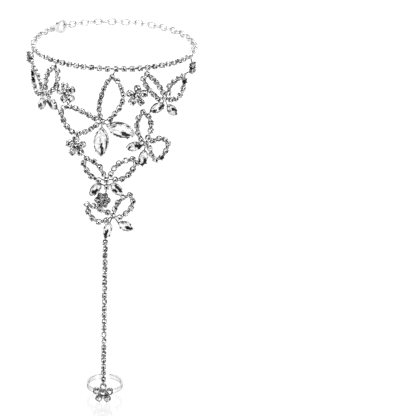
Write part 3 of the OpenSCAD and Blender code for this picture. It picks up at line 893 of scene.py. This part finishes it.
@dataclass
class RoundStone:
    """A small round stone: a flat table, crown facets, a sharp girdle and a point.

    Attributes:
        diameter: The stone's diameter, in mm.
        facets: Facets round its girdle.
    """

    diameter: float = STONE_D
    facets: int = 8

    def build(self) -> bpy.types.Object:
        """Cuts the stone at the origin, its girdle level and its table up.

        Returns:
            The stone.
        """
        d = self.diameter * MM
        half = math.pi / self.facets
        deselect_all()
        bpy.ops.mesh.primitive_circle_add(vertices=self.facets, radius=d / 2, fill_type="NGON")
        stone = bpy.context.active_object
        bpy.ops.object.mode_set(mode="EDIT")
        bpy.ops.mesh.select_all(action="SELECT")
        extrude((0.0, 0.0, CROWN * d), (TABLE, TABLE))
        bpy.ops.transform.rotate(value=half, orient_axis="Z", center_override=(0.0, 0.0, 0.0))
        pick_faces(stone, Vector((0.0, 0.0, -1.0)))
        extrude((0.0, 0.0, -PAVILION * d))
        bpy.ops.mesh.merge(type="CENTER")
        flatten_facets()
        close_shell()
        return stone


@dataclass
class Bead:
    """The bead that fills the gap between two cups of a wing: its diameter, in mm."""

    diameter: float = 1.8

    def build(self) -> bpy.types.Object:
        """Makes the bead at the origin.

        Returns:
            The bead.
        """
        deselect_all()
        bpy.ops.mesh.primitive_uv_sphere_add(
            segments=8, ring_count=5, radius=self.diameter / 2 * MM
        )
        bpy.ops.object.shade_smooth()
        return bpy.context.active_object


@dataclass
class WingRow:
    """The small repeated pieces of one butterfly: its stones, and the beads between its cups.

    Attributes:
        butterfly: The butterfly's number.
        cylinder: The lace's cylinder.
        bead_height: Height of a bead's middle over the cups' backs, in mm.
    """

    butterfly: int
    cylinder: LaceCylinder
    bead_height: float = 1.0

    @property
    def name(self) -> str:
        """The butterfly's own name."""
        return f"butterfly_{BUTTERFLY_NAMES[self.butterfly]}"

    def rows(self) -> list[list[Pair]]:
        """Finds the cups' places along each of the butterfly's wings, in mm."""
        return [wing_places(points) for owner, points in WINGS if owner == self.butterfly]

    def stone_seats(self) -> list[Matrix]:
        """Finds the seat of each stone, turned along its row.

        Returns:
            A matrix for each stone.
        """
        height = rim_height(STONE_D)
        half = 180.0 / RoundStone.facets
        found = []
        for places in self.rows():
            last = len(places) - 1
            for k, place in enumerate(places):
                after, before = places[min(k + 1, last)], places[max(k - 1, 0)]
                along = math.atan2(after[1] - before[1], after[0] - before[0])
                found.append(self.cylinder.seat(place, height, math.degrees(along) + half))
        for owner, share in BODIES:
            if owner == self.butterfly:
                found.append(self.cylinder.seat((WING_L * share[0], WING_L * share[1]), height, half))
        return found

    def bead_seats(self) -> list[Matrix]:
        """Finds the place of each bead, midway between two cups.

        Returns:
            A matrix for each bead.
        """
        found = []
        for places in self.rows():
            for a, b in zip(places, places[1:]):
                middle = ((a[0] + b[0]) / 2, (a[1] + b[1]) / 2)
                found.append(self.cylinder.seat(middle, self.bead_height, 0.0))
        return found

    def spread(
        self, kind: str, model: bpy.types.Object, seats: list[Matrix], finish: bpy.types.Material,
    ) -> bpy.types.Object:
        """Copies a model into each seat and joins the copies.

        Args:
            kind: What the copies are, for the piece's name.
            model: The model at the origin.
            seats: A matrix for each copy.
            finish: The piece's material.

        Returns:
            The joined piece, riding on the sandal.
        """
        copies = []
        for seat in seats:
            copy = model.copy()
            copy.data = model.data.copy()
            copy.data.transform(seat)
            bpy.context.scene.collection.objects.link(copy)
            copies.append(copy)
        deselect_all()
        for copy in copies:
            copy.select_set(True)
        bpy.context.view_layer.objects.active = copies[0]
        bpy.ops.object.join()
        piece = bpy.context.active_object
        piece.name = piece.data.name = f"{self.name}_{kind}"
        dress(piece, finish)
        log.info("%s: %d copies", piece.name, len(copies))
        return piece


@dataclass
class NavetteStone:
    """A pointed oval stone: a table, two rows of crown facets, a thin girdle and a keel.

    Attributes:
        node: The part's own stone that it takes the place of.
        size: Its setting's size.
        place: Its place, as shares of WING_L.
        turn: Its turn, in degrees.
        flashes: The strokes along which its facets are painted dark, as painted reflections.
        seed: Its number for random tones.
        facets: Facets along each side.
        girdle_rise: The girdle's height, as a share of the crown.
        row_rise: The height of each row of crown facets, as a share of the crown.
        row_shares: Length and width left over each of those rows, as shares.
        keel_drops: Heights of the two rows under the girdle, as shares of the pavilion.
        keel_share: Length and width left under the first of them.
        star_share: Length and width of the small star on the table.
    """

    node: str
    size: SettingSize
    place: Pair
    turn: float
    flashes: tuple
    seed: int
    facets: int = 7
    girdle_rise: float = 0.1
    row_rise: float = 0.45
    row_shares: tuple = ((0.86, 0.8), (0.84, 0.8))
    keel_drops: Pair = (0.6, 0.4)
    keel_share: Pair = (0.62, 0.45)
    star_share: Pair = (0.55, 0.5)

    # How upward a facet looks that can take a painted dark flash, and how the others are painted, as
    # painted reflections
    flash_least: float = 0.1
    pale_share: float = 0.74
    pale_tones: Pair = (0.72, 1.0)
    grey_tones: Pair = (0.3, 0.7)

    @property
    def length(self) -> float:
        """The stone's length, in mm, a seat's clearance inside its setting's wall.

        Returns:
            The length.
        """
        length, width = self.size.value
        arc = (length**2 + width**2) / (4 * width)
        inset = OVAL_WALL + SEAT_GAP
        return 2 * math.sqrt((arc - inset) ** 2 - (arc - width / 2) ** 2)

    @property
    def width(self) -> float:
        """The stone's width, in mm."""
        return self.size.value[1] - 2 * (OVAL_WALL + SEAT_GAP)

    def outline(self) -> bpy.types.Object:
        """Draws the stone's pointed outline as a flat face at the origin.

        Returns:
            The outline, in edit mode.
        """
        length, width = self.length * MM, self.width * MM
        arc = (length**2 + width**2) / (4 * width)
        span = 2 * math.asin(length / 2 / arc)
        deselect_all()
        bpy.ops.mesh.primitive_plane_add(size=1 * MM)
        stone = bpy.context.active_object
        bpy.ops.object.mode_set(mode="EDIT")
        bpy.ops.mesh.select_mode(type="VERT")
        bpy.ops.mesh.select_all(action="SELECT")
        bpy.ops.mesh.merge(type="CENTER")
        bpy.ops.mesh.select_all(action="SELECT")
        bpy.ops.transform.translate(value=(length / 2, 0.0, 0.0))
        bpy.ops.mesh.spin(
            steps=self.facets, angle=-span, center=(0.0, width / 2 - arc, 0.0), axis=(0.0, 0.0, 1.0)
        )
        bpy.ops.mesh.select_all(action="SELECT")
        bpy.ops.mesh.duplicate()
        bpy.ops.transform.rotate(value=math.pi, orient_axis="Z", center_override=(0.0, 0.0, 0.0))
        bpy.ops.mesh.select_all(action="SELECT")
        bpy.ops.mesh.remove_doubles(threshold=1e-6)
        bpy.ops.mesh.edge_face_add()
        return stone

    def cut(self) -> bpy.types.Object:
        """Cuts the stone at the origin, its girdle level and its table up.

        Returns:
            The stone.
        """
        width = self.width * MM
        crown, pavilion = OVAL_CROWN * width, OVAL_PAVILION * width
        stone = self.outline()
        extrude((0.0, 0.0, self.girdle_rise * crown))
        for share in self.row_shares:
            extrude((0.0, 0.0, self.row_rise * crown), share)
        bpy.ops.mesh.select_all(action="SELECT")
        bpy.ops.mesh.normals_make_consistent(inside=False)
        pick_faces(stone, Vector((0.0, 0.0, -1.0)))
        extrude((0.0, 0.0, -self.keel_drops[0] * pavilion), self.keel_share)
        extrude((0.0, 0.0, -self.keel_drops[1] * pavilion))
        bpy.ops.mesh.merge(type="CENTER")
        pick_faces(stone, Vector((0.0, 0.0, 1.0)))
        extrude((0.0, 0.0, 0.0), self.star_share)
        bpy.ops.mesh.poke()
        flatten_facets()
        close_shell()
        return stone

    def build(self, finish: bpy.types.Material, cylinder: LaceCylinder) -> bpy.types.Object:
        """Cuts the stone and sets it in its seat, in place of the part's own.

        Args:
            finish: The stone's material.
            cylinder: The lace's cylinder.

        Returns:
            The finished piece, riding on the sandal.
        """
        stone = self.cut()
        stone.name = stone.data.name = f"{self.node}_stone"
        self.paint(stone)
        rim = CUP_FLOOR + FLOOR_GAP + OVAL_PAVILION * self.width
        place = (WING_L * self.place[0], WING_L * self.place[1])
        stone.data.transform(cylinder.seat(place, rim, self.turn))
        dress(stone, finish)
        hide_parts(self.node)
        log.info("%s: %d facets", stone.name, len(stone.data.polygons))
        return stone

    def flash(self, centre: Vector) -> float:
        """Finds how far a facet lies from the nearest dark stroke.

        Args:
            centre: The facet's middle.

        Returns:
            The way to the stroke, in half widths.
        """
        half = Vector((self.length / 2, self.width / 2)) * MM
        least = math.inf
        for x0, y0, x1, y1 in self.flashes:
            a, b = Vector((x0 * half.x, y0 * half.y)), Vector((x1 * half.x, y1 * half.y))
            run = b - a
            share = min(max((centre.to_2d() - a).dot(run) / run.length_squared, 0.0), 1.0)
            least = min(least, (centre.to_2d() - a - share * run).length / half.y)
        return least

    def paint(self, stone: bpy.types.Object) -> None:
        """Paints each facet's reflection as its tone: near black by a stroke, and white or pale grey
        elsewhere.

        Args:
            stone: The stone, still at the origin.
        """
        chance = np.random.default_rng(self.seed)
        tones = []
        for face in stone.data.polygons:
            roll = chance.random()
            if face.normal.z > self.flash_least and self.flash(face.center) < self.size.flash_reach:
                tones.append(chance.uniform(*self.size.flash_tones))
            elif roll < self.pale_share:
                tones.append(chance.uniform(*self.pale_tones))
            else:
                tones.append(chance.uniform(*self.grey_tones))
        attribute = stone.data.attributes.new("facet_tone", "FLOAT_COLOR", "CORNER")
        for face in stone.data.polygons:
            for corner in face.loop_indices:
                attribute.data[corner].color = (*(tones[face.index],) * 3, 1.0)


def dress(piece: bpy.types.Object, finish: bpy.types.Material) -> None:
    """Gives a new piece its material, and lets it ride on the sandal.

    Args:
        piece: The new piece, its place in its mesh.
        finish: Its material.
    """
    piece.data.materials.clear()
    piece.data.materials.append(finish)
    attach(piece, ROOT_BODY)


@dataclass
class CarriedPieces:
    """The part's own pieces, each with the finish of its slot or one of its own."""

    finishes: dict[Slot, bpy.types.Material]
    own: dict[str, bpy.types.Material]

    def build(self) -> None:
        """Assigns each node's material by its slot in the record."""
        slots = {row["node"]: Slot(row["material_slot"]) for row in frame["record"]["subparts"]}
        for name, node in frame["nodes"].items():
            finish = self.own.get(name, self.finishes[slots[name]])
            if not node.material_slots:
                node.data.materials.append(None)
            for held in node.material_slots:
                held.material = finish
            log.info("%s: %s", name, slots[name].value)


@dataclass(frozen=True)
class Softbox:
    """A square soft light: its name, its place and side in metres, and its power in watts."""

    name: str
    place: Triple
    side: float
    power: float

    def hang(self, target: Triple) -> None:
        """Hangs the light.

        Args:
            target: Where it looks, in metres.
        """
        light = bpy.data.lights.new(self.name, "AREA")
        light.size = self.side
        light.energy = self.power
        hung = bpy.data.objects.new(self.name, light)
        turn = (Vector(target) - Vector(self.place)).to_track_quat("-Z", "Y")
        hung.matrix_world = Matrix.Translation(self.place) @ turn.to_matrix().to_4x4()
        bpy.context.scene.collection.objects.link(hung)


@dataclass(frozen=True)
class Surround:
    """White room with dark wavy panels in front for the metal to mirror.

    Attributes:
        wave_scale: How close the panels stand.
        distortion: How wavy they are.
        panels: The tones across a panel, each after its place.
        wall_zone: Where the plain back wall begins and is full, along Y.
        wall_tone: The back wall's tone.
    """

    wave_scale: float = 1.4
    distortion: float = 3.0
    panels: tuple = ((0.0, 0.0), (0.34, 0.01), (0.4, 1.25))
    wall_zone: Pair = (0.35, 0.6)
    wall_tone: float = 1.15

    def build(self) -> None:
        """Builds the world, which the camera itself sees as plain white."""
        world = bpy.data.worlds.new("studio")
        bpy.context.scene.world = world
        world.use_nodes = True
        bench = NodeBench(world.node_tree)
        bench.tree.nodes.clear()
        way = bench.add("ShaderNodeTexCoord").outputs["Generated"]
        wave = bench.add("ShaderNodeTexWave", bands_direction="DIAGONAL")
        wave.inputs["Scale"].default_value = self.wave_scale
        wave.inputs["Distortion"].default_value = self.distortion
        wave.inputs["Detail"].default_value = 1.0
        bench.join(way, wave.inputs["Vector"])
        axes = bench.add("ShaderNodeSeparateXYZ")
        bench.join(way, axes.inputs["Vector"])
        wall = bench.span(axes.outputs["Y"], 0.0, 1.0, *self.wall_zone)
        colour = bench.blend(
            wall, bench.ramp(wave.outputs["Fac"], self.panels), (self.wall_tone,) * 3
        )
        seen = bench.add("ShaderNodeLightPath").outputs["Is Camera Ray"]
        colour = bench.blend(seen, colour, (1.0, 1.0, 1.0))
        back = bench.add("ShaderNodeBackground")
        bench.join(colour, back.inputs["Color"])
        output = bench.add("ShaderNodeOutputWorld")
        bench.join(back.outputs["Background"], output.inputs["Surface"])


@dataclass
class Studio:
    """The floor, the lights and the camera.

    Attributes:
        floor_z: The floor's height, just under the toe ring, in metres.
        floor_r: Its radius, in metres.
        lights: The soft lights.
        target: Where the lights look, in metres.
        focal_mm: The camera's focal length, in mm.
        sensor_mm: Its sensor's width, in mm.
        clip_m: The nearest that it sees, in metres.
        eye: Its place, in metres.
        pitch: How far it looks down, in degrees.
        pan: How far it looks to its right, in degrees.
        roll: How far it leans, in degrees.
    """

    floor_z: float = -0.1784
    floor_r: float = 3.0
    lights: tuple[Softbox, ...] = (
        Softbox("key_light", (-0.7, -0.9, 0.9), 0.5, 10.0),
        Softbox("fill_light", (0.9, -0.7, 0.3), 0.3, 3.0),
        Softbox("back_light", (0.1, 0.9, 0.7), 0.5, 5.0),
    )
    target: Triple = (0.0, -0.03, -0.05)
    focal_mm: float = 154.04
    sensor_mm: float = 36.0
    clip_m: float = 0.05
    eye: Triple = (0.0, -0.84553, 0.25926)
    pitch: float = 22.217
    pan: float = 3.339
    roll: float = 2.134

    def floor(self) -> None:
        """Lays a wide round floor under the toe ring."""
        deselect_all()
        bpy.ops.mesh.primitive_circle_add(
            vertices=96, radius=self.floor_r, fill_type="NGON", location=(0.0, 0.0, self.floor_z)
        )
        bpy.ops.object.transform_apply(location=True, rotation=True, scale=True)
        ground = bpy.context.active_object
        ground.name = ground.data.name = "studio_floor"
        ground.data.materials.append(FloorFinish().build())

    def camera(self) -> None:
        """Sets the camera at the photograph's place and angle."""
        pitch, pan, roll = (math.radians(a) for a in (self.pitch, self.pan, self.roll))
        ahead = Vector(
            (math.sin(pan) * math.cos(pitch), math.cos(pan) * math.cos(pitch), -math.sin(pitch))
        )
        right = Vector((math.cos(pan), -math.sin(pan), 0.0))
        above = right.cross(ahead)
        side = math.cos(roll) * right + math.sin(roll) * above
        top = -math.sin(roll) * right + math.cos(roll) * above
        lens = bpy.data.cameras.new("camera")
        lens.sensor_width = self.sensor_mm
        lens.lens = self.focal_mm
        lens.clip_start = self.clip_m
        seen = bpy.data.objects.new("camera", lens)
        turn = Matrix((side, top, -ahead)).transposed()
        seen.matrix_world = Matrix.Translation(self.eye) @ turn.to_4x4()
        bpy.context.scene.collection.objects.link(seen)
        bpy.context.scene.camera = seen

    def build(self) -> None:
        """Builds the floor, the surround, the lights and the camera."""
        self.floor()
        Surround().build()
        for light in self.lights:
            light.hang(self.target)
        self.camera()
        view = bpy.context.scene.view_settings
        view.view_transform = "Standard"
        view.look = "None"


# Every finish of the part's nodes and of the new pieces
FINISHES: tuple = (
    FacetFinish(
        "round_stone",
        crown=((0.0, 0.003), (0.3, 0.12), (0.38, 0.6), (0.46, 1.0)),
        table=((0.0, 0.001), (0.72, 0.08), (0.8, 0.5), (0.88, 1.0)),
    ),
    FacetFinish(
        "shaded_stone",
        crown=((0.0, 0.005), (0.4, 0.12), (0.62, 0.4), (0.8, 0.9)),
        table=((0.0, 0.001), (0.7, 0.08), (0.85, 0.5), (0.95, 1.0)),
    ),
    FacetFinish(
        "flower_stone",
        crown=((0.0, 0.003), (0.5, 0.12), (0.62, 0.5), (0.72, 1.0)),
        table=((0.0, 0.05), (0.12, 0.4), (0.25, 0.8), (0.4, 1.0)),
    ),
    FacetFinish(
        "drop_stone",
        crown=((0.0, 0.004), (0.34, 0.12), (0.46, 0.6), (0.56, 1.0)),
        table=((0.0, 0.001), (0.72, 0.08), (0.84, 0.5), (0.92, 1.0)),
    ),
    NavetteFinish(),
    SilverFinish(
        "silver_metal", tone=(1.0, 1.0, 1.0), shade=(0.88, 0.88, 0.9), roughness=(0.04, 0.12),
        recess=0.65, edge=0.6, patches=(0.92, 0.68), painted_shade=(0.96, 0.15),
    ),
    SilverFinish(
        "pale_metal", tone=(0.84, 0.84, 0.85), shade=(0.68, 0.68, 0.7), roughness=(0.34, 0.46),
        recess=0.6, edge=0.1, patches=(0.15, 0.15),
    ),
    SilverFinish(
        "ring_metal", tone=(0.97, 0.97, 0.98), shade=(0.9, 0.9, 0.92), roughness=(0.16, 0.26),
        recess=0.5, edge=0.3, patches=(1.0, 0.0), front=(-0.0397, -0.0396), band=(-173.0, 1.2),
        back_patches=0.06,
    ),
    SilverFinish(
        "clasp_metal", tone=(0.92, 0.92, 0.93), shade=(0.74, 0.74, 0.76), roughness=(0.16, 0.24),
        recess=0.8, edge=0.0, back_patches=0.0,
    ),
    # painted shade: the beads' metal is a darker copy of the silver, for the shade in the gaps
    # between cups
    SilverFinish(
        "shaded_bead_metal", tone=(0.62, 0.62, 0.63), shade=(0.3, 0.3, 0.31), roughness=(0.1, 0.2),
        recess=0.6, edge=0.4, patches=(0.9, 0.7), patch_mm=0.6,
    ),
    # painted shade: the rosettes' metal is a darker copy of the silver, and the left and low
    # rosettes' stones take the darker shaded_stone tones
    SilverFinish(
        "shaded_rosette_metal", tone=(0.6, 0.6, 0.61), shade=(0.4, 0.4, 0.41), roughness=(0.06, 0.14),
        recess=0.65, edge=0.5, patches=(0.95, 0.85), painted_shade=(0.96, 0.3),
    ),
)

# The finish of each slot's nodes, and of the nodes with a finish of their own
SLOT_FINISHES = {
    Slot.SILVER: "silver_metal",
    Slot.PALE: "pale_metal",
    Slot.RING: "ring_metal",
    Slot.STONE: "round_stone",
}
OWN_FINISHES = {
    "rosette_left": "shaded_rosette_metal",
    "rosette_right": "shaded_rosette_metal",
    "rosette_low": "shaded_rosette_metal",
    "rosette_left_stones": "shaded_stone",
    "rosette_low_stones": "shaded_stone",
    "drop_stones": "drop_stone",
    "toe_flower_stones": "flower_stone",
    "clasp_body": "clasp_metal",
    "clasp_lever": "clasp_metal",
}


def main() -> None:
    """Builds the finishes, the stones, the beads and the studio, in order."""
    logging.basicConfig(level=logging.INFO, format="%(name)s: %(message)s")
    built = {finish.name: finish.build() for finish in FINISHES}
    by_slot = {slot: built[name] for slot, name in SLOT_FINISHES.items()}
    own = {node: built[name] for node, name in OWN_FINISHES.items()}
    CarriedPieces(by_slot, own).build()

    cylinder = LaceCylinder()
    stone = RoundStone().build()
    bead = Bead().build()
    for butterfly in range(len(BUTTERFLY_NAMES)):
        row = WingRow(butterfly, cylinder)
        row.spread("stones", stone, row.stone_seats(), built["round_stone"])
        row.spread("beads", bead, row.bead_seats(), built["shaded_bead_metal"])
    bpy.data.objects.remove(stone)
    bpy.data.objects.remove(bead)

    for seed, (node, size, place, turn, flashes) in enumerate(OVALS, FIRST_SEED):
        oval = NavetteStone(node, size, place, turn, flashes, seed)
        oval.build(built["pointed_oval_stone"], cylinder)

    Studio().build()


if __name__ == "__main__":
    main()
